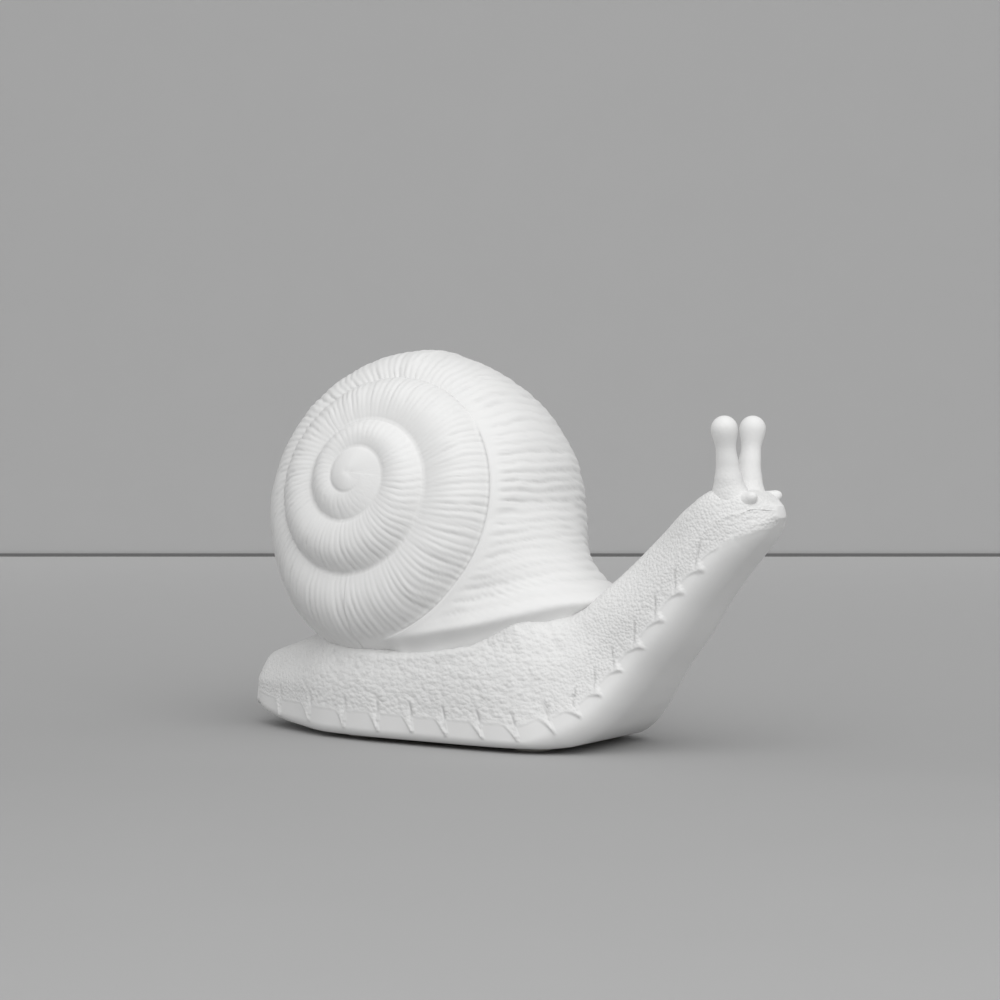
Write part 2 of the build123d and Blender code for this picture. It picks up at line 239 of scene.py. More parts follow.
def rib_tree(material):
    """Growth ribs across the whorls: shallow rolls between grooves, with finer lines among them."""
    names = ("Rib depth", "Wander", "Roll", "Grain depth")
    tree = Tree("growth_ribs", names)
    depth, wander, roll, grain_depth = (tree.start.outputs[name] for name in names)
    place = tree.node("GeometryNodeInputPosition").outputs[0]
    share = tree.attribute("whorl_share")
    drift = tree.math("SUBTRACT", tree.noise(place, 30.0, 1.0), 0.5)
    shake = tree.math("SUBTRACT", tree.noise(place, 190.0, 1.0), 0.5)
    rib = tree.math("MULTIPLY_ADD", drift, wander, tree.attribute("rib_place"))
    rib = tree.math("MULTIPLY_ADD", shake, 0.4, rib)

    def grooves(pitch, sharpness, reach, least, most):
        """Grooves at every pitch, each with its own depth, which also changes along it."""
        line = tree.math("DIVIDE", rib, pitch)
        ridge = tree.math("ABSOLUTE", tree.math("SINE", tree.math("MULTIPLY", line, pi)))
        groove = tree.math("SUBTRACT", 1.0, tree.math("POWER", ridge, sharpness))
        number = tree.math("ROUND", line)
        own = tree.node("ShaderNodeTexWhiteNoise", {"noise_dimensions": "1D"}, W=number).outputs["Value"]
        spot = tree.node("ShaderNodeCombineXYZ", None, X=tree.math("MULTIPLY", number, 5.37),
                         Y=tree.math("MULTIPLY", share, reach)).outputs[0]
        run = tree.math("MULTIPLY_ADD", tree.noise(spot, 1.0, 1.0), 3.6, -1.3)
        run = tree.math("MINIMUM", tree.math("MAXIMUM", run, 0.0), 1.0)
        strength = tree.math("MULTIPLY_ADD", tree.math("MULTIPLY", own, run), most, least)
        return tree.math("MULTIPLY", groove, strength)

    cut = tree.math("ADD", grooves(1.0, 0.7, 4.0, 0.4, 0.95), grooves(0.41, 0.9, 6.0, 0.04, 0.34))
    cut = tree.math("MULTIPLY", cut, tree.attribute("rib_depth"))
    swell = tree.node("ShaderNodeCombineXYZ", None, X=tree.math("MULTIPLY", rib, 0.6), Y=share).outputs[0]
    swell = tree.math("SUBTRACT", tree.noise(swell, 1.0, 0.0), 0.5)
    swell = tree.math("MULTIPLY", swell, tree.attribute("rib_depth"))
    fine = tree.math("SUBTRACT", tree.noise(place, 900.0, 2.0), 0.5)
    lift = tree.math("MULTIPLY_ADD", swell, roll, tree.math("MULTIPLY", fine, grain_depth))
    lift = tree.math("SUBTRACT", lift, tree.math("MULTIPLY", cut, depth))
    # The groove depth is kept as hollow for the casting's painted shade in the grooves.
    kept = tree.store(tree.start.outputs[0], "hollow", cut)
    normal = tree.node("GeometryNodeInputNormal").outputs[0]
    tree.finish(kept, tree.scaled(normal, lift), material)
    return tree


def scale_tree(material):
    """Skin of rounded scales that dip at their upper edges, finer on neck and tail, with a few pinholes."""
    names = ("Scale size", "Fine size", "Scale depth", "Grain depth", "Pit depth")
    tree = Tree("skin_scales", names)
    size, fine_size, depth, grain_depth, pit_depth = (tree.start.outputs[name] for name in names)
    place = tree.node("GeometryNodeInputPosition").outputs[0]
    warp = tree.node("ShaderNodeTexNoise", None, Vector=place, Scale=220.0, Detail=1.0).outputs[1]
    bend = tree.scaled(tree.vector("SUBTRACT", warp, (0.5, 0.5, 0.5)).outputs[0], 0.0022)
    bent = tree.vector("ADD", place, bend).outputs[0]

    def scales(width):
        """Height of a field of scales: a flat dome each, lower along its upper edge."""
        per_metre = tree.math("DIVIDE", 1.0, width)
        cells = tree.node("ShaderNodeTexVoronoi", {"feature": "F1"}, Vector=bent, Scale=per_metre)
        near = tree.math("MULTIPLY", cells.outputs["Distance"], 1.3)
        dome = tree.math("SUBTRACT", 1.0, tree.math("POWER", near, 2.6))
        away = tree.vector("SUBTRACT", bent, cells.outputs["Position"]).outputs[0]
        above = tree.vector("DOT_PRODUCT", away, (0.2, 0.0, 0.98)).outputs["Value"]
        above = tree.math("DIVIDE", above, width)
        return tree.math("SUBTRACT", dome, tree.math("MULTIPLY", above, 0.45))

    coarse = tree.attribute("coarse")
    large = tree.math("MULTIPLY", scales(size), coarse)
    small = tree.math("MULTIPLY", scales(fine_size), tree.math("MULTIPLY_ADD", coarse, -0.3, 0.45))
    relief = tree.math("SUBTRACT", tree.math("ADD", large, small), 0.6)
    grain = tree.math("SUBTRACT", tree.noise(place, 800.0, 2.0), 0.5)
    skin = tree.attribute("skin")
    lift = tree.math("MULTIPLY_ADD", relief, depth, tree.math("MULTIPLY", grain, grain_depth))
    pits = tree.node("ShaderNodeTexVoronoi", {"feature": "F1"}, Vector=place, Scale=42.0).outputs["Distance"]
    pit = tree.math("SUBTRACT", 1.0, tree.math("MINIMUM", tree.math("DIVIDE", pits, 0.045), 1.0))
    lift = tree.math("SUBTRACT", lift, tree.math("MULTIPLY", pit, pit_depth))
    lift = tree.math("MULTIPLY", lift, skin)
    # Dips under the scales' upper edges, pinholes and pleat creases are kept as hollow for the casting's
    # painted shade.
    dip = tree.math("MAXIMUM", tree.math("MULTIPLY", relief, -1.0), 0.0)
    hollow = tree.math("MULTIPLY", tree.math("ADD", dip, pit), skin)
    hollow = tree.math("ADD", hollow, tree.attribute("crease"))
    kept = tree.store(tree.start.outputs[0], "hollow", hollow)
    normal = tree.node("GeometryNodeInputNormal").outputs[0]
    tree.finish(kept, tree.scaled(normal, lift), material)
    return tree


# Materials

def shader(name):
    """New material with its Principled shader and a way to link its nodes."""
    material = bpy.data.materials.new(name)
    material.use_nodes = True
    tree = material.node_tree
    return material, tree, tree.nodes["Principled BSDF"]


def cast_resin(name, colour, roughness):
    """Matt white casting: faint clouds, painted shade in the grooves, dips, pinholes, creases and along the
    scale edges, with a fine grain.
    """
    material, tree, bsdf = shader(name)
    new, link = tree.nodes.new, tree.links.new
    bsdf.inputs["Specular IOR Level"].default_value = 0.32
    coords = new("ShaderNodeTexCoord")
    cloud = new("ShaderNodeTexNoise")
    cloud.inputs["Scale"].default_value = 26.0
    cloud.inputs["Detail"].default_value = 5.0
    link(coords.outputs["Object"], cloud.inputs["Vector"])
    tint = new("ShaderNodeMix")
    tint.data_type = "RGBA"
    tint.inputs["A"].default_value = (*[c * 0.955 for c in colour], 1)
    tint.inputs["B"].default_value = (*colour, 1)
    link(cloud.outputs[0], tint.inputs["Factor"])
    # Painted shade: the stored hollow numbers and the scale dents darken the white towards 0.62 of itself.
    hollow = new("ShaderNodeAttribute")
    hollow.attribute_name = "hollow"
    painted_shade = new("ShaderNodeMath")
    painted_shade.operation = "MULTIPLY"
    painted_shade.use_clamp = True
    painted_shade.inputs[1].default_value = 0.16
    shade = new("ShaderNodeMix")
    shade.data_type = "RGBA"
    shade.inputs["B"].default_value = (*[c * 0.62 for c in colour], 1)
    link(painted_shade.outputs[0], shade.inputs["Factor"])
    link(tint.outputs["Result"], shade.inputs["A"])
    link(shade.outputs["Result"], bsdf.inputs["Base Color"])
    grain = new("ShaderNodeTexNoise")
    grain.inputs["Scale"].default_value = 1400.0
    grain.inputs["Detail"].default_value = 3.0
    link(coords.outputs["Object"], grain.inputs["Vector"])
    gloss = new("ShaderNodeMapRange")
    gloss.inputs["To Min"].default_value = roughness - 0.06
    gloss.inputs["To Max"].default_value = roughness + 0.06
    link(grain.outputs[0], gloss.inputs["Value"])
    link(gloss.outputs["Result"], bsdf.inputs["Roughness"])
    skin = new("ShaderNodeAttribute")
    skin.attribute_name = "skin"
    coarse = new("ShaderNodeAttribute")
    coarse.attribute_name = "coarse"

    def maths(operation, a, b, c=None):
        """Result of one operation on numbers."""
        node = new("ShaderNodeMath")
        node.operation = operation
        for socket, value in zip(node.inputs, (a, b, c)):
            if isinstance(value, bpy.types.NodeSocket):
                link(value, socket)
            elif value is not None:
                socket.default_value = value
        return node.outputs[0]

    def cells(per_metre, squash):
        """Distance to the middle of the nearest of many small cells."""
        mapping = new("ShaderNodeMapping")
        mapping.inputs["Scale"].default_value = (1, 1, squash)
        link(coords.outputs["Object"], mapping.inputs["Vector"])
        node = new("ShaderNodeTexVoronoi")
        node.inputs["Scale"].default_value = per_metre
        link(mapping.outputs["Vector"], node.inputs["Vector"])
        return node.outputs["Distance"]

    # The scale dents bump the surface and also add painted shade along the scale edges.
    small = maths("MULTIPLY", cells(780.0, 1.0), maths("MULTIPLY_ADD", coarse.outputs["Fac"], -0.6, 1.0))
    dents = maths("MULTIPLY_ADD", cells(320.0, 1.6), coarse.outputs["Fac"], small)
    dents = maths("MULTIPLY", dents, skin.outputs["Fac"])
    link(maths("MULTIPLY_ADD", dents, 0.2, hollow.outputs["Fac"]), painted_shade.inputs[0])
    bump = new("ShaderNodeBump")
    bump.inputs["Strength"].default_value = 0.65
    bump.inputs["Distance"].default_value = 0.0006
    link(maths("MULTIPLY_ADD", grain.outputs[0], 0.06, maths("MULTIPLY", dents, -1.0)), bump.inputs["Height"])
    link(bump.outputs["Normal"], bsdf.inputs["Normal"])
    return material


def grained(name, colour, dark_share, scale, stretch, roughness, metallic=0.0):
    """Material with a drawn-out grain: board, felt, wood or wire."""
    material, tree, bsdf = shader(name)
    new, link = tree.nodes.new, tree.links.new
    bsdf.inputs["Metallic"].default_value = metallic
    coords = new("ShaderNodeTexCoord")
    mapping = new("ShaderNodeMapping")
    mapping.inputs["Scale"].default_value = stretch
    noise = new("ShaderNodeTexNoise")
    noise.inputs["Scale"].default_value = scale
    noise.inputs["Detail"].default_value = 6.0
    tint = new("ShaderNodeMix")
    tint.data_type = "RGBA"
    tint.inputs["A"].default_value = (*[c * dark_share for c in colour], 1)
    tint.inputs["B"].default_value = (*colour, 1)
    gloss = new("ShaderNodeMapRange")
    gloss.inputs["To Min"].default_value = roughness - 0.1
    gloss.inputs["To Max"].default_value = min(1.0, roughness + 0.1)
    bump = new("ShaderNodeBump")
    bump.inputs["Strength"].default_value = 0.3
    bump.inputs["Distance"].default_value = 0.0004
    link(coords.outputs["Object"], mapping.inputs["Vector"])
    link(mapping.outputs["Vector"], noise.inputs["Vector"])
    link(noise.outputs[0], tint.inputs["Factor"])
    link(tint.outputs["Result"], bsdf.inputs["Base Color"])
    link(noise.outputs[0], gloss.inputs["Value"])
    link(gloss.outputs["Result"], bsdf.inputs["Roughness"])
    link(noise.outputs[0], bump.inputs["Height"])
    link(bump.outputs["Normal"], bsdf.inputs["Normal"])
    return material


# Meshes

def mesh_object(name, points, faces, numbers=None):
    """Object at the origin from points in the part's own millimetres, with numbers kept on its points."""
    mesh = bpy.data.meshes.new(name)
    mesh.from_pydata((np.asarray(points) * MM + ORIGIN).tolist(), [], faces)
    for key, values in (numbers or {}).items():
        mesh.attributes.new(key, "FLOAT", "POINT").data.foreach_set("value", np.asarray(values, np.float32))
    mesh.polygons.foreach_set("use_smooth", np.ones(len(mesh.polygons), bool))
    mesh.update()
    piece = bpy.data.objects.new(name, mesh)
    bpy.context.scene.collection.objects.link(piece)
    return piece


def grid_faces(rows):
    """Quads between neighbouring rows of point numbers."""
    a, b, c, d = rows[:-1, :-1], rows[1:, :-1], rows[1:, 1:], rows[:-1, 1:]
    return np.stack((a, b, c, d), -1).reshape(-1, 4).tolist()


def evened(piece):
    """Piece with its faces turned outwards and no loose points."""
    mesh = bmesh.new()
    mesh.from_mesh(piece.data)
    bmesh.ops.delete(mesh, geom=[point for point in mesh.verts if not point.link_faces], context="VERTS")
    bmesh.ops.recalc_face_normals(mesh, faces=mesh.faces)
    mesh.to_mesh(piece.data)
    mesh.free()
    return piece


def applied(piece, tree, values):
    """Piece with a tree run on it and turned back into a plain mesh."""
    modifier = piece.modifiers.new(tree.group.name, "NODES")
    modifier.node_group = tree.group
    for label, value in values.items():
        modifier[tree.identifiers[label]] = value
    graph = bpy.context.evaluated_depsgraph_get()
    mesh = bpy.data.meshes.new_from_object(piece.evaluated_get(graph), depsgraph=graph)
    piece.modifiers.remove(modifier)
    old = piece.data
    piece.data = mesh
    mesh.name = piece.name
    bpy.data.meshes.remove(old)
    return piece


def dress(piece, slot, *nodes):
    """Piece that rides on the figurine's one body in the place of its solids."""
    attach(piece, "root")
    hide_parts(*nodes)


# Shell

def seam(turns):
    """Radius and depth under the apex of the seam between the whorls."""
    step = turns - 1
    radius = 34.1 * np.exp(0.66 * step - 0.089 * step * step)
    return radius, 11.2 * (radius / 34.1) ** 1.41


def shell_points(turns, radius, depth):
    """Points at a turn, a distance from the shell's axis and a depth under the apex."""
    angle = 2 * pi * np.asarray(turns)[..., None]
    spoke = FRONT * np.cos(angle) - UP * np.sin(angle)
    radius, depth = np.asarray(radius)[..., None], np.asarray(depth)[..., None]
    lift = APEX_LIFT * (1 - smooth_step(14.0, 36.0, radius)) * (depth < 30)
    return APEX - AXIS * depth + spoke * radius + UP * lift


def spire_profile(turns, shares):
    """Radius and depth across the inner whorls, from the seam above to the seam below, bulged between."""
    inner, inner_depth = seam(turns)
    outer, outer_depth = seam(turns + 1)
    run, fall = outer - inner, outer_depth - inner_depth
    chord = np.hypot(run, fall)
    grown = smooth_step(-1.0, -0.45, turns)
    swell = 0.22 * (chord * grown)[:, None] * np.sin(pi * shares) ** 0.8
    radius = inner[:, None] + run[:, None] * shares + swell * (fall / chord)[:, None]
    return radius, inner_depth[:, None] + fall[:, None] * shares - swell * (run / chord)[:, None]


def oval_profile(turns, shares):
    """Radius, depth and angle round the last whorl's oval section, from its seam to the hollow underneath."""
    step = turns - 1.75
    half_width, half_depth, middle = 23.2 - 9.0 * step, 41.9 + 2.8 * step, 63.0 + 12.3 * step
    top, top_depth = seam(turns)
    rise = np.clip((top_depth - middle) / half_depth, -1, 1)
    lean = np.sqrt(1 - rise * rise)
    first = np.arctan2(rise, lean)
    angle = first[:, None] + (radians(142) - first[:, None]) * shares
    radius = (top - half_width * lean)[:, None] + half_width[:, None] * np.cos(angle)
    depth = middle[:, None] + half_depth[:, None] * np.sin(angle)
    ease = (1 - shares) ** 6
    radius = radius + (top - radius[:, 0])[:, None] * ease
    depth = depth + (top_depth - depth[:, 0])[:, None] * ease
    return radius, depth, angle


def dome_depth(radius):
    """Depth of the dome that fills the hollow underneath the whorls."""
    return 40.0 + np.sqrt(np.clip(58.0 ** 2 - radius ** 2, 0, None))


def soft_max(a, b, room):
    """The larger of two values, rounded where they meet."""
    return (a + b + np.sqrt((a - b) ** 2 + room ** 2)) / 2


def last_whorl_profile(turns, shares):
    """Radius, depth and angle across the last whorl, which grows out of the inner one."""
    radius, depth, angle = oval_profile(turns, shares)
    shoulder = 1.3 * shares / 0.07 * np.exp(1 - shares / 0.07)
    shoulder = shoulder + 0.5 * np.exp(-((shares - 0.011) / 0.008) ** 2)
    shoulder = smooth_step(1.85, 2.05, turns)[:, None] * shoulder
    radius, depth = radius + 0.5 * shoulder, depth - 0.85 * shoulder
    under = smooth_step(radians(80), radians(105), angle)
    depth = depth + (soft_max(depth, dome_depth(radius), 4.0) - depth) * under
    arc = spire_profile(turns, np.arange(1, SPIRE_ROWS + 1) / SPIRE_ROWS)
    rest = (1 - np.arange(1, WHORL_ROWS - SPIRE_ROWS + 1) / (WHORL_ROWS - SPIRE_ROWS)) ** 2
    blend = smooth_step(JOIN_TURN, RUN_OUT, turns)[:, None]
    closing = 0.98 * smooth_step(JOIN_TURN + 0.85, JOIN_TURN + 1, turns)[:, None]
    result = []
    for oval, inner in zip((radius, depth), arc):
        run = oval[:, SPIRE_ROWS:] + (inner[:, -1:] - oval[:, SPIRE_ROWS - 1:SPIRE_ROWS]) * rest
        run = np.concatenate((inner, run), 1)
        whole = run + (oval - run) * blend
        first = whole[0, SPIRE_ROWS - 1:]
        along = np.arange(1, WHORL_ROWS + 1) / WHORL_ROWS
        last = np.interp(along, np.linspace(0, 1, len(first)), first)
        result.append(whole + (last - whole) * closing)
    return result[0], result[1], angle


def flared(points, room):
    """Last whorl drawn out to the lip's rim and in under it, its share of lip and depth under the rim."""
    x, y, z = points[..., 0] - LIP_CENTRE[0], points[..., 1] - LIP_CENTRE[1], points[..., 2]
    turn = np.degrees(np.arctan2(y, x))
    station = np.clip((turn - LIP_FIRST) / LIP_STEP, 0, len(LIP_REACH) - 1)
    reach, rim = eased(LIP_REACH, station), eased(LIP_RISE, station)
    under = rim - z
    rise = np.clip(1 + under / LIP_FLARE, 0, 1.4)
    radius = np.hypot(x, y)
    brim = radius + (reach + LIP_EDGE - radius) * (0.45 * rise + 0.55 * rise ** 3.2)
    low = np.clip(under, 0, 9.0) / 9.0
    draw = np.where(under < 0, 1.27 * under, 5.7 * (1 - (1 - low) ** 2) + 1.2 * np.maximum(0, under - 9.0))
    target = -soft_max(-brim, draw - reach - LIP_EDGE, 3.0)
    part = smooth_step(-128.0, -106.0, turn) * smooth_step(104.0, 88.0, turn) * room
    grow = 1 + part * (target - radius) / radius
    moved = np.stack((LIP_CENTRE[0] + x * grow, LIP_CENTRE[1] + y * grow, z), -1)
    return moved, part, under


def knob(points, loop, seam_count):
    """Rings of points that close the shell at its apex with a low rounded knob."""
    outline = points[loop]
    edge = np.arange(len(loop)) / seam_count
    round_up = smooth_step(0.05, 0.45, edge) * smooth_step(1.0, 0.75, edge)
    tip = APEX + UP * APEX_LIFT
    rings = []
    for share in KNOB_SHARES:
        rise = 2.4 * (share * (1 - share)) ** 0.5 * round_up[:, None]
        rings.append(tip + (outline - tip) * share + AXIS * rise)
    return rings


def shell_mesh(looks):
    """Closed mesh of the shell: a spiral strip from the apex, the last whorl, its mouth and its underside."""
    each = looks.columns_a_turn
    spire_count = round((JOIN_TURN - FIRST_TURN) * each)
    turns = FIRST_TURN + np.arange(spire_count + each + 1) / each
    seam_points = shell_points(turns, *seam(turns))
    shares = np.arange(1, SPIRE_ROWS) / SPIRE_ROWS
    spire_turns, whorl_turns = turns[:spire_count + 1], turns[spire_count:]
    spire_points = shell_points(spire_turns[:, None] + 0 * shares, *spire_profile(spire_turns, shares))
    whorl_shares = (np.arange(1, WHORL_ROWS + 1) / WHORL_ROWS) ** 1.6
    radius, depth, angle = last_whorl_profile(whorl_turns, whorl_shares)
    inward = 1 - np.arange(1, DOME_ROWS) / DOME_ROWS
    dome_radius = radius[:, -1:] * inward
    dome = soft_max(depth[:, -1:] + 0 * inward, dome_depth(dome_radius), 4.0 * inward)
    radius, depth = np.concatenate((radius, dome_radius), 1), np.concatenate((depth, dome), 1)
    whorl_points = shell_points(whorl_turns[:, None] + 0 * radius[:1], radius, depth)
    room = np.zeros(radius.shape)
    room[:, :WHORL_ROWS] = smooth_step(radians(115), radians(85), angle)
    whorl_points, part, under_rim = flared(whorl_points, room)

    seam_ids = np.arange(len(turns))
    spire_ids = len(turns) + np.arange(spire_points[..., 0].size).reshape(len(spire_turns), -1)
    whorl_ids = spire_ids.max() + 1 + np.arange(whorl_points[..., 0].size).reshape(len(whorl_turns), -1)
    points = np.concatenate((seam_points, spire_points.reshape(-1, 3), whorl_points.reshape(-1, 3)))
    whorl_ids[0, :SPIRE_ROWS - 1] = spire_ids[-1]
    whorl_ids[0, SPIRE_ROWS - 1] = seam_ids[spire_count + each]
    inner_ids, outer_ids = seam_ids[:len(spire_turns)], seam_ids[each:each + len(spire_turns)]
    spire_grid = np.column_stack((inner_ids, spire_ids, outer_ids))
    whorl_grid = np.column_stack((seam_ids[spire_count:], whorl_ids))
    faces = grid_faces(spire_grid) + grid_faces(whorl_grid)

    loop = np.concatenate((np.arange(each + 1), spire_ids[0][::-1]))
    rings = knob(points, loop, each + 1)
    count = len(points)
    ring_ids = [loop] + [count + k * len(loop) + np.arange(len(loop)) for k in range(len(rings))]
    for outer, inner in zip(ring_ids, ring_ids[1:]):
        faces += np.stack((outer, np.roll(outer, -1), np.roll(inner, -1), inner), -1).tolist()
    tip = count + len(rings) * len(loop)
    under = tip + 1
    faces += np.stack((ring_ids[-1], np.roll(ring_ids[-1], -1), np.full(len(loop), tip)), -1).tolist()
    faces += np.stack((whorl_ids[:-1, -1], whorl_ids[1:, -1], np.full(each, under)), -1).tolist()
    faces.append([int(i) for i in (*whorl_ids[0, SPIRE_ROWS - 1:], under, *whorl_ids[-1][::-1])])
    pole = shell_points(np.zeros(1), np.zeros(1), np.full(1, 98.0))
    points = np.concatenate((points, *rings, [APEX + UP * APEX_LIFT], pole))

    middle = np.minimum(0.5 * (seam(turns)[0] + seam(turns + 1)[0]), 76.0)
    spacing = looks.rib_spacing / MM * (0.66 + 0.34 * smooth_step(0.9, 1.8, turns))
    rib = np.cumsum(2 * pi * middle / spacing) / each
    places, depths, across = np.zeros((3, len(points)))
    run_out = smooth_step(JOIN_TURN, RUN_OUT, whorl_turns)[:, None]
    rows = np.arange(1, whorl_ids.shape[1] + 1)
    far = np.append(whorl_shares, np.ones(DOME_ROWS - 1))
    inner_lean = 2.2 * np.minimum(1, rows / SPIRE_ROWS) + 9.0 * np.maximum(0, far - far[SPIRE_ROWS - 1])
    wound = rib[spire_count:, None] + inner_lean + (13.0 * far - inner_lean) * run_out
    height = whorl_points[..., 2]
    follow = (height + under_rim - 58.0) * (0.25 + 0.75 * smooth_step(100.0, 62.0, height))
    level = (follow - height) / looks.front_spacing * MM
    shared = ((whorl_turns > 1.8) & (whorl_turns < 1.95))[:, None] & (far < 0.5)
    level = level + (wound - level)[shared].mean()
    front = smooth_step(1.7, 1.98, whorl_turns)[:, None] * smooth_step(0.97, 0.85, far)
    places[whorl_ids] = wound + (level - wound) * front
    places[spire_ids] = rib[:len(spire_turns), None] + 2.2 * shares
    places[seam_ids] = rib
    large = np.clip(middle / 40.0, 0.4, 1.0)
    spire_depth = (0.3 + 0.7 * smooth_step(0.1, 0.6, shares)) * np.minimum(1, 12 * (1 - shares) + 0.3)
    run_depth = np.append(spire_depth, np.ones(len(rows) - SPIRE_ROWS + 1))
    smooth_band = smooth_step(1.75, 1.95, whorl_turns)[:, None]
    oval_depth = (1 + 0.45 * smooth_band) * (1 - 0.6 * smooth_step(0.7, 1.0, far))
    oval_depth = oval_depth * (1 - smooth_band * smooth_step(0.09, 0.02, far))
    lip = part * smooth_step(-5.0, -1.0, under_rim)
    depths[whorl_ids] = (run_depth + (oval_depth - run_depth) * run_out) * (1 - lip)
    grown = large[:len(spire_turns)] * smooth_step(-1.0, -0.6, spire_turns)
    depths[spire_ids] = grown[:, None] * spire_depth
    across[whorl_ids] = far * (1 + 2 * run_out)
    across[spire_ids] = shares
    for share, ids in zip(KNOB_SHARES, ring_ids[1:]):
        places[ids] = places[loop]
        depths[ids] = 0
    points[:, 1] = SHELL_MIDDLE + (points[:, 1] - SHELL_MIDDLE) * 0.992
    points[:, 2] *= 0.998
    return points, faces, {"rib_place": places, "rib_depth": depths, "whorl_share": across}


def cut_seat(piece, height):
    """Cuts the shell flat at its seat and closes the cut."""
    mesh = bmesh.new()
    mesh.from_mesh(piece.data)
    everything = mesh.verts[:] + mesh.edges[:] + mesh.faces[:]
    cut = bmesh.ops.bisect_plane(
        mesh, geom=everything, plane_co=(0, 0, height), plane_no=(0, 0, -1), clear_outer=True)
    edges = [item for item in cut["geom_cut"] if isinstance(item, bmesh.types.BMEdge)]
    bmesh.ops.triangle_fill(mesh, edges=edges, use_beauty=True)
    bmesh.ops.recalc_face_normals(mesh, faces=mesh.faces)
    mesh.to_mesh(piece.data)
    mesh.free()


# Body

def body_lines(places):
    """Sole point, back point, half width and skirt heights along the body, in the part's own millimetres."""
    sole_x, sole_z = (eased(column, places) for column in zip(*SOLE))
    back_x, back_z = (eased(column, places) for column in zip(*BACK))
    over = HEAD_HEIGHT - PAD_THICKNESS
    sole = np.stack((sole_x * BODY_LENGTH, 0 * sole_x, PAD_THICKNESS + sole_z * over), -1)
    back = np.stack((back_x * BODY_LENGTH, 0 * back_x, PAD_THICKNESS + back_z * over), -1)
    tall = np.linalg.norm(back - sole, axis=1)
    neck = np.clip((places - NECK_FIRST) / (len(RIM) - 1 - NECK_FIRST), 0, 1)
    foot = np.clip(NECK_FIRST - places, 0, 1)
    low = np.minimum(9.0 - 4.5 * foot, tall * 0.3)
    high = low + np.minimum(13.5 - 8.5 * neck, tall * 0.3)
    blunt = np.clip((1 - places) / 1.02, 0, 1) ** 3 + np.clip((places - 18.2) / 1.85, 0, 1) ** 3.6
    return sole, back, tall, eased(RIM, places) * BODY_HALF_WIDTH * np.sqrt(1 - blunt), low, high


def hermite(start, end, leave, arrive, share):
    """Cubic from one point to another with given directions."""
    s = share
    return ((2 * s ** 3 - 3 * s ** 2 + 1) * start + (s ** 3 - 2 * s ** 2 + s) * leave
            + (3 * s ** 2 - 2 * s ** 3) * end + (s ** 3 - s ** 2) * arrive)


def half_section(places):
    """Outlines of the body's left half from the middle of the sole to the middle of the back."""
    sole, back, tall, half, low, high = body_lines(places)
    inset = eased(INSET, places) * half
    column = (len(places), 1)
    tall, half, low, high, inset = (v.reshape(column) for v in (tall, half, low, high, inset))
    plate = np.maximum(np.minimum(half - 7.4, half - inset - 1.2), 0.35 * (half - inset))
    recess = ((sole[:, :1] > 61.4) & (sole[:, :1] < 178.4)) * 3.4
    flat = np.linspace(0, 1, 5)[None, :]
    side, height = [plate * flat], [recess + 0 * flat]
    ledge = plate + np.minimum(0.35, 0.25 * (half - inset - plate))
    rest = np.linspace(0, 1, SOLE_ROWS - 5)[None, :]
    side.append(ledge + (half - inset - ledge) * rest)
    height.append(0 * plate + 0 * rest)
    turn = np.linspace(0, pi / 2, BEVEL_ROWS + 1)[None, 1:]
    side.append(half - inset + inset * np.sin(turn))
    height.append(low * (1 - np.cos(turn)))
    climb = np.linspace(0, 1, SKIRT_ROWS + 1)[None, 1:]
    side.append(half + 0 * climb)
    height.append(low + (high - low) * climb)
    head = smooth_step(15.5, 17.5, places)
    chest = smooth_step(7.0, 9.5, places) * smooth_step(15.0, 13.0, places)
    broad = (head + 1.2 * chest).reshape(column)
    knots = [(half, high), ((0.91 + 0.07 * broad) * half, 0.62 * tall),
             ((0.53 + 0.25 * broad) * half, (0.93 + 0.01 * broad) * tall), (0 * half, tall)]
    slopes = [(0 * half, 0.62 * tall - high)]
    for before, after in ((0, 2), (1, 3)):
        slopes.append(tuple((knots[after][k] - knots[before][k]) / 2 for k in (0, 1)))
    slopes.append((-0.55 * half, 0 * tall))
    for piece, rows in enumerate(FLANK_ROWS):
        share = np.linspace(0, 1, rows + 1)[None, 1:]
        for target, axis in ((side, 0), (height, 1)):
            ends = knots[piece][axis], knots[piece + 1][axis]
            target.append(hermite(*ends, slopes[piece][axis], slopes[piece + 1][axis], share))
    return sole, back, np.concatenate(side, 1), np.concatenate(height, 1)


def even_places(count):
    """Places along the body at even distances on its rim."""
    fine = np.linspace(*BODY_ENDS, 4000)
    sole, back, tall, half, low, high = body_lines(fine)
    rim = sole + (back - sole) / tall[:, None] * low[:, None]
    rim[:, 1] = half
    steps = np.append(0, np.cumsum(np.linalg.norm(np.diff(rim, axis=0), axis=1)))
    return np.interp(np.linspace(0, steps[-1], count), steps, fine), steps[-1]


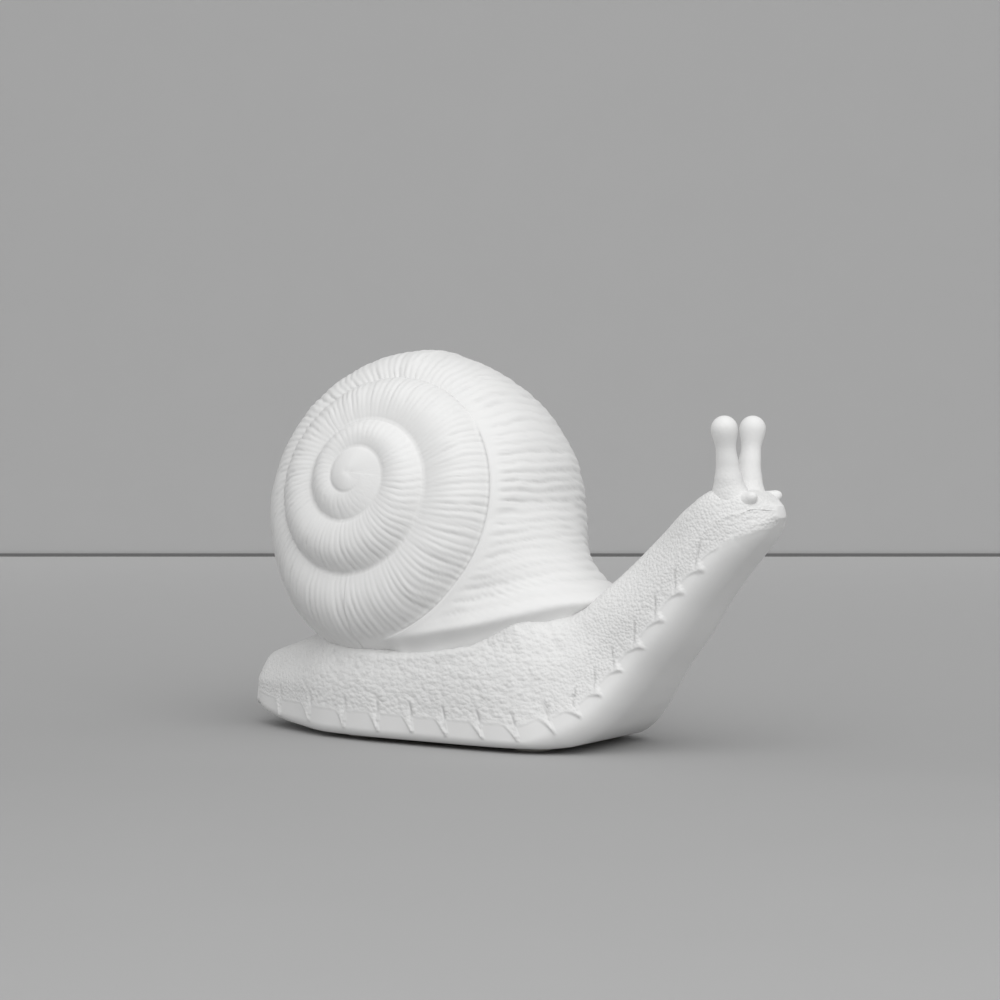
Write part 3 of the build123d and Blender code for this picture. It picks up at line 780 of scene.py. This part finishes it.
def pleat_pattern(shares, length, height, low, high, looks):
    """Lift of the skin's edge and its tongues, how much of the side is skin, and the creases beside the
    tongues, which also mark where shade is painted.
    """
    first, last, crowding, count = 0.07, 0.95, 0.25, 19
    shares = shares - 0.028 * smooth_step(0.14, 0.28, shares) * smooth_step(0.72, 0.58, shares)
    shares = shares + 0.012 * smooth_step(0.12, 0.06, shares)
    q = (shares - first) / (last - first)
    inside = np.clip(q, 0, 1)
    step = ((1 + crowding) - np.sqrt((1 + crowding) ** 2 - 4 * crowding * inside)) / (2 * crowding)
    phase = step * (count - 1)
    number = np.clip(np.round(phase + 0.33), 0, count - 1)
    pitch = (1 + crowding * (1 - 2 * number / (count - 1))) * (last - first) / (count - 1) * length
    along = (phase - number) * pitch
    along = np.where(q < 0, (shares - first) * length, np.where(q > 1, (shares - last) * length, along))
    jitter = np.sin(number * 12.9898) * 43758.5453
    jitter = jitter - np.floor(jitter)
    neck = smooth_step(8.6, 10.8, number)
    along = along + 1.2 * (jitter - 0.5)
    rear = 4.2 + 3.4 * neck
    along, pitch, neck, rear, jitter = (v[:, None] for v in (along, pitch, neck, rear, jitter))
    reach = (8.0 - 4.2 * neck) * (0.88 + 0.24 * jitter)
    back_slope = np.clip((along + rear) / (rear + 1.0), 0, 1) ** (1.5 + 0.3 * neck)
    front_slope = np.clip(1 - (along - 1.0) / (1.1 + 0.6 * neck), 0, 1)
    tongue = reach * np.minimum(back_slope, front_slope) * smooth_step(0.912, 0.89, shares)[:, None]
    base = (low + (high - low) * 0.5 - 4.5 * smooth_step(0.88, 0.96, shares))[:, None] - 2.0 * neck
    rise = height - base
    over = rise + tongue
    skin = smooth_step(-0.45, 0.45, over)
    tip = tongue / reach * smooth_step(7.0, 0.0, over)
    thick = looks.skin_step / MM * skin * (0.3 + 0.15 * neck + 0.55 * tip)
    centre = 1.9 + 1.1 * neck * (rise - 2.2)
    own, next_one = (np.exp(-((along + shift - centre) / 0.6) ** 2) for shift in (0, pitch))
    groove = np.maximum(own, next_one) * smooth_step(0.93, 0.90, shares)[:, None]
    groove = groove * smooth_step(-1.5, 1.5, rise) * smooth_step(8.0, 4.5, rise)
    lift = thick + 0.55 * tip * skin - 1.1 * groove * skin
    rough = smooth_step(-1.0, 2.5, over) * (1 - 0.85 * tip) * (1 - 0.7 * groove)
    return lift, rough, groove * skin


def under_shell(points):
    """Draws the body's side in over the line where skin meets lip, and gives the low roll along it."""
    x, z = points[..., 0], points[..., 2]
    top = np.interp(x, *zip(*SKIN_TOP))
    part = smooth_step(28.0, 44.0, x) * smooth_step(193.0, 184.0, x)
    points[..., 1] *= 1 - 0.38 * part * smooth_step(0.0, 7.0, z - top)
    return 0.5 * part * np.exp(-((z - top + 1.2) / 1.6) ** 2)


def capped(outline, bulge):
    """Rings of points that close one end of the body with a low dome."""
    middle = outline.mean(0)
    rings = []
    for share in CAP_SHARES:
        cap = middle + (outline - middle) * share
        cap[:, 0] += bulge * (1 - share * share)
        rings.append(cap)
    return rings, middle + (bulge, 0, 0)


def body_mesh(looks):
    """Closed mesh of the body with its skirt, and the numbers that its skin is made from."""
    columns = looks.columns
    places, length = even_places(columns)
    sole, back, side, height = half_section(places)
    lines = body_lines(places)
    low, high = lines[4], lines[5]
    shares = np.linspace(0, 1, columns)
    lift, skin, crease = pleat_pattern(shares, length, height, low, high, looks)
    lift[:, :SOLE_ROWS], skin[:, :SOLE_ROWS], crease[:, :SOLE_ROWS] = 0, 0, 0
    pleated = (smooth_step(0.0, 0.03, shares) * smooth_step(0.99, 0.96, shares))[:, None]
    scaled = (smooth_step(0.0, 0.015, shares) * smooth_step(1.0, 0.985, shares))[:, None]
    up = (back - sole) / lines[2][:, None]
    left = sole[:, None, :] + up[:, None, :] * height[..., None]
    left[..., 1] = side
    roll = under_shell(left)
    normal = np.cross(np.gradient(left, axis=1), np.gradient(left, axis=0))
    size = np.linalg.norm(normal, axis=2, keepdims=True)
    normal = normal / np.where(size == 0, 1, size)
    outward = np.sign(np.sum(normal[:, SOLE_ROWS + BEVEL_ROWS, 1]))
    lift = (lift * pleated + roll) * smooth_step(0.0, 3.0, side)
    left = left + normal * outward * lift[..., None]
    left[..., 0] = BODY_MIDDLE + (left[..., 0] - BODY_MIDDLE) * 0.998
    ring = np.concatenate((left, left[:, 1:-1][:, ::-1] * (1, -1, 1)), 1)
    rows = ring.shape[1]

    (tail, tail_pole), (nose, nose_pole) = capped(ring[0], -CAP_BULGES[0]), capped(ring[-1], CAP_BULGES[1])
    ids = np.arange(columns * rows).reshape(columns, rows)
    cap_ids = columns * rows + np.arange(2 * len(tail) * rows).reshape(2, len(tail), rows)
    grid = np.concatenate((cap_ids[0][::-1], ids, cap_ids[1]))
    faces = grid_faces(np.concatenate((grid, grid[:, :1]), 1))
    total = cap_ids.max() + 1
    for cap, pole in ((cap_ids[0, -1], total), (cap_ids[1, -1], total + 1)):
        faces += np.stack((cap, np.roll(cap, -1), np.full(rows, pole)), -1).tolist()
    whole = np.concatenate((ring.reshape(-1, 3), *tail, *nose, [tail_pole, nose_pole]))

    x = left[..., 0]
    kept = {}
    coarse = smooth_step(20.0, 70.0, x) * smooth_step(205.0, 170.0, x)
    # crease carries the pleat creases on to the skin tree, where they add painted shade.
    for key, values in {"skin": skin * scaled, "crease": crease * pleated, "coarse": coarse}.items():
        values = np.concatenate((values, values[:, 1:-1][:, ::-1]), 1)
        caps = [np.tile(values[end], len(tail)) for end in (0, -1)]
        kept[key] = np.concatenate((values.ravel(), *caps, values[[0, -1]].mean(1)))
    return whole, faces, kept


def lathe(profile, segments):
    """Points and faces of a round solid from radius and height, closed on its axis at both ends."""
    turns = np.linspace(0, 2 * pi, segments, endpoint=False)
    profile = np.asarray(profile)
    rings = profile[1:-1]
    x, y = rings[:, :1] * np.cos(turns), rings[:, :1] * np.sin(turns)
    points = np.stack((x, y, rings[:, 1:] + 0 * turns), -1)
    ids = np.arange(len(rings) * segments).reshape(len(rings), segments)
    faces = grid_faces(np.concatenate((ids, ids[:, :1]), 1))
    low, high = ids.size, ids.size + 1
    faces += np.stack((ids[0], np.roll(ids[0], -1), np.full(segments, low)), -1).tolist()
    faces += np.stack((ids[-1], np.roll(ids[-1], -1), np.full(segments, high)), -1).tolist()
    ends = [(0, 0, profile[0][1]), (0, 0, profile[-1][1])]
    return np.concatenate((points.reshape(-1, 3), ends)), faces


def tentacle(side, looks):
    """Small blunt horn on the head, wide at its root."""
    length = looks.tentacle_length / MM
    shares = np.linspace(0, 1, 26)
    radius = TENTACLE_TIP + (TENTACLE_ROOT - TENTACLE_TIP) * (1 - shares) ** 1.3
    radius *= np.sqrt(np.clip(1 - np.clip((shares - 0.68) / 0.32, 0, 1) ** 2, 0, 1))
    profile = [(0, -TENTACLE_SUNK), (TENTACLE_ROOT, -TENTACLE_SUNK)]
    profile += list(zip(radius[:-1], shares[:-1] * length)) + [(0, length)]
    points, faces = lathe(profile, 32)
    pitch, yaw = TENTACLE_PITCH, TENTACLE_YAW * side
    aim = np.array((sin(pitch) * cos(yaw), sin(pitch) * sin(yaw), cos(pitch)))
    across = np.cross(aim, (0, 0, 1.0))
    across /= np.linalg.norm(across)
    turned = points[:, :1] * across + points[:, 1:2] * np.cross(aim, across) + points[:, 2:] * aim
    return turned + np.array(TENTACLE_PLACE) * (1, side, 1), faces


def stalk_mesh(node):
    """Eye stalk over its solid: a root that widens into the head, a slim neck and a round bulb."""
    low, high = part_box(node)
    middle = np.array(((low.x + high.x) / 2, (low.y + high.y) / 2, 0)) / MM - ORIGIN / MM
    top = high.z / MM + STALK_RAISE
    bulb = BULB_RADIUS
    centre = top - bulb
    heights = np.linspace(top - STALK_LENGTH, centre, 64)
    under = top - heights
    radius = STALK_RADIUS + 0.6 * smooth_step(14, 21, under) + 1.4 * smooth_step(20, 29, under)
    radius = (radius + 3.4 * smooth_step(27, 37, under)) * (1 - 0.8 * smooth_step(36, STALK_LENGTH, under))
    radius = radius + (bulb - radius) * smooth_step(bulb + 8.3, bulb, under)
    profile = [(0, heights[0]), (radius[0] * 0.7, heights[0])] + list(zip(radius[1:], heights[1:]))
    for angle in np.linspace(0, pi / 2, 16)[1:]:
        profile.append((bulb * cos(angle), centre + bulb * sin(angle)))
    profile[-1] = (0, top)
    points, faces = lathe(profile, 56)
    points = points + middle
    under = top - points[:, 2]
    lean = 4.2 * smooth_step(4.0, 30.0, under) + 3.2 * smooth_step(26.0, 38.0, under)
    points[:, 1] -= np.sign(middle[1]) * lean
    return points, faces


# What a user may change

def length_setting(name, description, default):
    """Setting for a length in metres."""
    return FloatProperty(name=name, description=description, default=default, unit="LENGTH")


def colour_setting(name, description, default):
    """Setting for a colour."""
    return FloatVectorProperty(name=name, description=description, default=default, subtype="COLOR")


class ShellLooks(bpy.types.PropertyGroup):
    columns_a_turn: IntProperty(
        name="Columns a turn", description="Mesh columns in each turn of the shell", default=800)
    rib_spacing: length_setting("Rib spacing", "Distance between growth ribs", 0.0041)
    front_spacing: length_setting("Front spacing", "Distance between ribs at the front", 0.0043)
    rib_depth: length_setting("Rib depth", "Depth of the grooves", 0.0007)
    wander: FloatProperty(name="Wander", description="How far ribs stray, in ribs", default=2.0)
    roll: length_setting("Roll", "Height of the broad rolls", 0.0009)
    grain: length_setting("Grain", "Depth of the fine grain", 0.00012)
    seat: length_setting("Seat", "Height where the shell is cut flat", 0.040)


class BodyLooks(bpy.types.PropertyGroup):
    columns: IntProperty(name="Columns", description="Mesh columns from tail to nose", default=470)
    scale_size: length_setting("Scale size", "Width of a scale on the flank", 0.0032)
    fine_size: length_setting("Fine size", "Width of a scale on neck and tail", 0.0023)
    scale_depth: length_setting("Scale depth", "Height of a scale", 0.0002)
    grain: length_setting("Grain", "Depth of the fine grain", 0.00025)
    pits: length_setting("Pits", "Depth of the pinholes", 0.0006)
    skin_step: length_setting("Skin step", "Thickness of the skin's edge", 0.0008)
    tentacle_length: length_setting("Tentacle", "Length of a lower tentacle", 0.0077)


class FinishLooks(bpy.types.PropertyGroup):
    white: colour_setting("White", "Colour of the casting", (0.81, 0.81, 0.805))
    roughness: FloatProperty(
        name="Roughness", description="Roughness of the casting", default=0.62, subtype="FACTOR")
    board: colour_setting("Board", "Colour of the base plate", (0.36, 0.29, 0.22))
    felt: colour_setting("Felt", "Colour of the pads", (0.62, 0.60, 0.56))
    wood: colour_setting("Wood", "Colour of the dowels", (0.60, 0.42, 0.24))
    wire: colour_setting("Wire", "Colour of the wires", (0.50, 0.50, 0.51))


class StageLooks(bpy.types.PropertyGroup):
    floor: colour_setting("Floor", "Colour of the floor near the camera", (0.385, 0.385, 0.385))
    # The far floor colour is brighter than the near one: painted light making up for the lamp's falloff
    # towards the wall.
    far_floor_painted_light: colour_setting("Far floor", "Colour of the floor at the wall", (0.67, 0.67, 0.67))
    wall: colour_setting("Wall", "Colour of the wall", (0.565, 0.565, 0.565))
    sky: colour_setting("Sky", "Colour of the light all round", (0.69, 0.69, 0.69))
    lamp: FloatProperty(name="Lamp", description="Power of the soft lamp overhead", default=9.3, unit="POWER")


def looks(name):
    """Settings kept on the scene."""
    return getattr(bpy.context.scene, "snail_" + name)


def resin():
    """The casting's one material, made once."""
    finish = looks("finish")
    made = bpy.data.materials.get("white_casting")
    return made or cast_resin("white_casting", tuple(finish.white), finish.roughness)


class SNAIL_OT_shell(bpy.types.Operator):
    """Builds the ribbed spiral shell"""
    bl_idname = "snail.shell"
    bl_label = "Shell"

    def execute(self, context):
        values = looks("shell")
        piece = evened(mesh_object("ribbed_shell", *shell_mesh(values)))
        applied(piece, rib_tree(resin()), {
            "Rib depth": values.rib_depth, "Wander": values.wander,
            "Roll": values.roll, "Grain depth": values.grain,
        })
        cut_seat(piece, values.seat)
        dress(piece, "cast_resin", "shell_casting")
        return {"FINISHED"}


class SNAIL_OT_body(bpy.types.Operator):
    """Builds the scaled body with its pleated skirt and lower tentacles"""
    bl_idname = "snail.body"
    bl_label = "Body"

    def execute(self, context):
        values = looks("body")
        points, faces, numbers = body_mesh(values)
        for side in (1, -1):
            horn, horn_faces = tentacle(side, values)
            faces = faces + [[i + len(points) for i in face] for face in horn_faces]
            points = np.concatenate((points, horn))
            for key in numbers:
                level = 0.25 if key == "skin" else 0.0
                numbers[key] = np.append(numbers[key], np.full(len(horn), level))
        piece = evened(mesh_object("scaled_body", points, faces, numbers))
        applied(piece, scale_tree(resin()), {
            "Scale size": values.scale_size, "Fine size": values.fine_size, "Scale depth": values.scale_depth,
            "Grain depth": values.grain, "Pit depth": values.pits,
        })
        dress(piece, "cast_resin", "body_casting")
        return {"FINISHED"}


class SNAIL_OT_stalks(bpy.types.Operator):
    """Builds the two eye stalks with their bulbs"""
    bl_idname = "snail.stalks"
    bl_label = "Eye stalks"

    def execute(self, context):
        for side in ("left", "right"):
            points, faces = stalk_mesh("eye_stalk_" + side)
            numbers = {key: np.zeros(len(points)) for key in ("skin", "crease", "coarse")}
            numbers["skin"] = 0.4 * smooth_step(126.0, 112.0, points[:, 2]) + 0.12
            piece = evened(mesh_object("stalk_with_bulb_" + side, points, faces, numbers))
            values = looks("body")
            applied(piece, scale_tree(resin()), {
                "Scale size": values.scale_size, "Fine size": values.fine_size,
                "Scale depth": values.scale_depth * 0.6, "Grain depth": values.grain, "Pit depth": 0.0,
            })
            dress(piece, "cast_resin", "eye_stalk_" + side)
        return {"FINISHED"}


class SNAIL_OT_base(bpy.types.Operator):
    """Finishes the base plate, pads, dowels and wires"""
    bl_idname = "snail.base"
    bl_label = "Base and fittings"

    def execute(self, context):
        finish = looks("finish")
        board = grained("base_board", tuple(finish.board), 0.78, 90.0, (1, 1, 1), 0.82)
        felt = grained("pad_felt", tuple(finish.felt), 0.75, 900.0, (1, 1, 1), 0.9)
        wood = grained("dowel_wood", tuple(finish.wood), 0.7, 120.0, (1, 1, 0.12), 0.6)
        wire = grained("core_wire", tuple(finish.wire), 0.85, 400.0, (1, 1, 0.05), 0.35, 1.0)
        kinds = {"base": board, "pad": felt, "shell": wood, "stalk": wire}
        replaced = ("body_casting", "shell_casting", "eye_stalk_left", "eye_stalk_right")
        for name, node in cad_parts.items():
            material = resin() if name in replaced else kinds[name.split("_")[0]]
            node.data.materials.clear()
            node.data.materials.append(material)
        return {"FINISHED"}


def plain(name, colour, roughness):
    """Stage material with a faint mottle."""
    return grained(name, colour, 0.97, 14.0, (1, 1, 1), roughness)


def painted_light_by_distance(material, colour, ahead, first, last):
    """Stage material that turns to another colour with distance from the camera: painted light that brightens
    the far floor where the lamp's light falls off.
    """
    tree = material.node_tree
    new, link = tree.nodes.new, tree.links.new
    bsdf = tree.nodes["Principled BSDF"]
    coords = new("ShaderNodeTexCoord")
    along = new("ShaderNodeVectorMath")
    along.operation = "DOT_PRODUCT"
    along.inputs[1].default_value = ahead
    link(coords.outputs["Object"], along.inputs[0])
    share = new("ShaderNodeMapRange")
    share.inputs["From Min"].default_value = first
    share.inputs["From Max"].default_value = last
    link(along.outputs["Value"], share.inputs["Value"])
    mix = new("ShaderNodeMix")
    mix.data_type = "RGBA"
    mix.inputs["B"].default_value = (*colour, 1)
    link(bsdf.inputs["Base Color"].links[0].from_socket, mix.inputs["A"])
    link(share.outputs["Result"], mix.inputs["Factor"])
    link(mix.outputs["Result"], bsdf.inputs["Base Color"])


def stage_sheet(name, corners, material):
    """Flat sheet of the stage."""
    mesh = bpy.data.meshes.new(name)
    mesh.from_pydata(corners, [], [list(range(len(corners)))])
    mesh.materials.append(material)
    sheet = bpy.data.objects.new(name, mesh)
    bpy.context.scene.collection.objects.link(sheet)
    return sheet


def lamp(name, place, target, size, power):
    """Square soft lamp that points at a target."""
    data = bpy.data.lights.new(name, "AREA")
    data.shape = "SQUARE"
    data.size = size
    data.energy = power
    light = bpy.data.objects.new(name, data)
    light.location = place
    light.rotation_euler = (Vector(target) - Vector(place)).to_track_quat("-Z", "Y").to_euler()
    bpy.context.scene.collection.objects.link(light)


class SNAIL_OT_stage(bpy.types.Operator):
    """Sets the floor, wall, light and camera"""
    bl_idname = "snail.stage"
    bl_label = "Stage"

    def execute(self, context):
        values = looks("stage")
        eye = Vector(CAMERA_PLACE)
        ahead = Vector((-sin(CAMERA_YAW), cos(CAMERA_YAW), 0))
        right = Vector((cos(CAMERA_YAW), sin(CAMERA_YAW), 0))
        foot = Vector((eye.x, eye.y, 0)) + ahead * WALL_DISTANCE
        floor = plain("stage_floor", tuple(values.floor), 0.9)
        # Painted light: the floor turns brighter towards the wall.
        painted_light_by_distance(floor, tuple(values.far_floor_painted_light), ahead, -0.1, 1.4)
        wall = plain("stage_wall", tuple(values.wall), 0.95)
        # Painted shade: a strip in the wall's colour darkened to 0.35, along the wall's foot where it meets
        # the floor.
        line = plain("stage_corner_shade", tuple(c * 0.35 for c in values.wall), 0.95)
        wide = right * STAGE_HALF_WIDTH
        front = foot - ahead * FLOOR_LENGTH
        stage_sheet("floor", [foot - wide, foot + wide, front + wide, front - wide], floor)
        rise = Vector((0, 0, WALL_HEIGHT))
        stage_sheet("wall", [foot - wide, foot - wide + rise, foot + wide + rise, foot + wide], wall)
        near = foot - ahead * 0.002
        tall = Vector((0, 0, WALL_SHADE_HEIGHT))
        stage_sheet("wall_corner_shade", [near - wide, near - wide + tall, near + wide + tall, near + wide], line)
        lamp("overhead_lamp", LAMP_PLACE, LAMP_TARGET, LAMP_SIZE, values.lamp)
        world = bpy.data.worlds.new("soft_room")
        world.use_nodes = True
        world.node_tree.nodes["Background"].inputs["Color"].default_value = (*values.sky, 1)
        bpy.context.scene.world = world
        data = bpy.data.cameras.new("photo_camera")
        data.lens = LENS
        data.sensor_width = SENSOR
        camera = bpy.data.objects.new("photo_camera", data)
        camera.location = eye
        look = ahead * cos(CAMERA_PITCH) + Vector((0, 0, sin(CAMERA_PITCH)))
        camera.rotation_euler = look.to_track_quat("-Z", "Y").to_euler()
        bpy.context.scene.collection.objects.link(camera)
        bpy.context.scene.camera = camera
        bpy.context.scene.view_settings.view_transform = "Standard"
        return {"FINISHED"}


class SNAIL_PT_panel(bpy.types.Panel):
    """Lists the figurine's settings and steps"""
    bl_idname = "SNAIL_PT_panel"
    bl_label = "Snail figurine"
    bl_space_type = "VIEW_3D"
    bl_region_type = "UI"
    bl_category = "Snail"

    def draw(self, context):
        for group in LOOKS:
            settings = looks(group)
            box = self.layout.box()
            for key in settings.__annotations__:
                box.prop(settings, key)
        for step in STEPS:
            self.layout.operator(step.bl_idname)


LOOKS = {"shell": ShellLooks, "body": BodyLooks, "finish": FinishLooks, "stage": StageLooks}
STEPS = (SNAIL_OT_shell, SNAIL_OT_body, SNAIL_OT_stalks, SNAIL_OT_base, SNAIL_OT_stage)


def register():
    for kind in (*LOOKS.values(), *STEPS, SNAIL_PT_panel):
        bpy.utils.register_class(kind)
    for name, kind in LOOKS.items():
        setattr(bpy.types.Scene, "snail_" + name, PointerProperty(type=kind))


def unregister():
    for name in LOOKS:
        delattr(bpy.types.Scene, "snail_" + name)
    for kind in (SNAIL_PT_panel, *reversed(STEPS), *LOOKS.values()):
        bpy.utils.unregister_class(kind)


def main():
    register()
    bpy.ops.snail.shell()
    bpy.ops.snail.body()
    bpy.ops.snail.stalks()
    bpy.ops.snail.base()
    bpy.ops.snail.stage()


if __name__ == "__main__":
    main()
